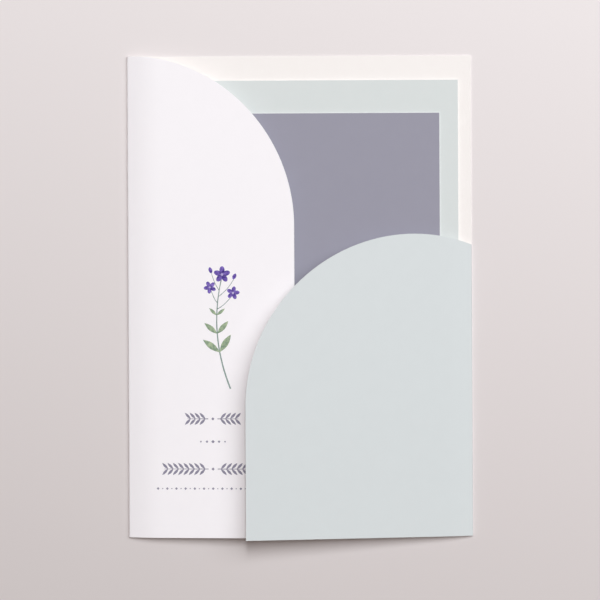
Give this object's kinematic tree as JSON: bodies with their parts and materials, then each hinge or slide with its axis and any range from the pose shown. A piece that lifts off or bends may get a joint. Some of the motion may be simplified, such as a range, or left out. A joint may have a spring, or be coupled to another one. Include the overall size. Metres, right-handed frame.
{
  "type": "pocket fold invitation",
  "caption": "Folded card invitation with two overlapping arched front flaps and a glued bottom pocket that holds a grey card in front of a sage green card.",
  "frame": {"origin": "under the middle of the back panel, on the surface that the folder lies on", "axes": "+X across the folder towards the crease of the right flap, +Y up the folder towards its top edge, +Z away from the surface, towards the reader"},
  "size_m": [0.12, 0.1676, 0.012],
  "materials": {
    "folder_card": "matte uncoated card, white outside with a sage green right flap, cream inside",
    "sage_card": "matte card, pale sage green",
    "grey_card": "matte card, warm violet grey"
  },
  "bodies": {
    "root": {"folder": "folder_card", "insert_card": "sage_card", "invitation_card": "grey_card"}
  },
  "joints": []
}
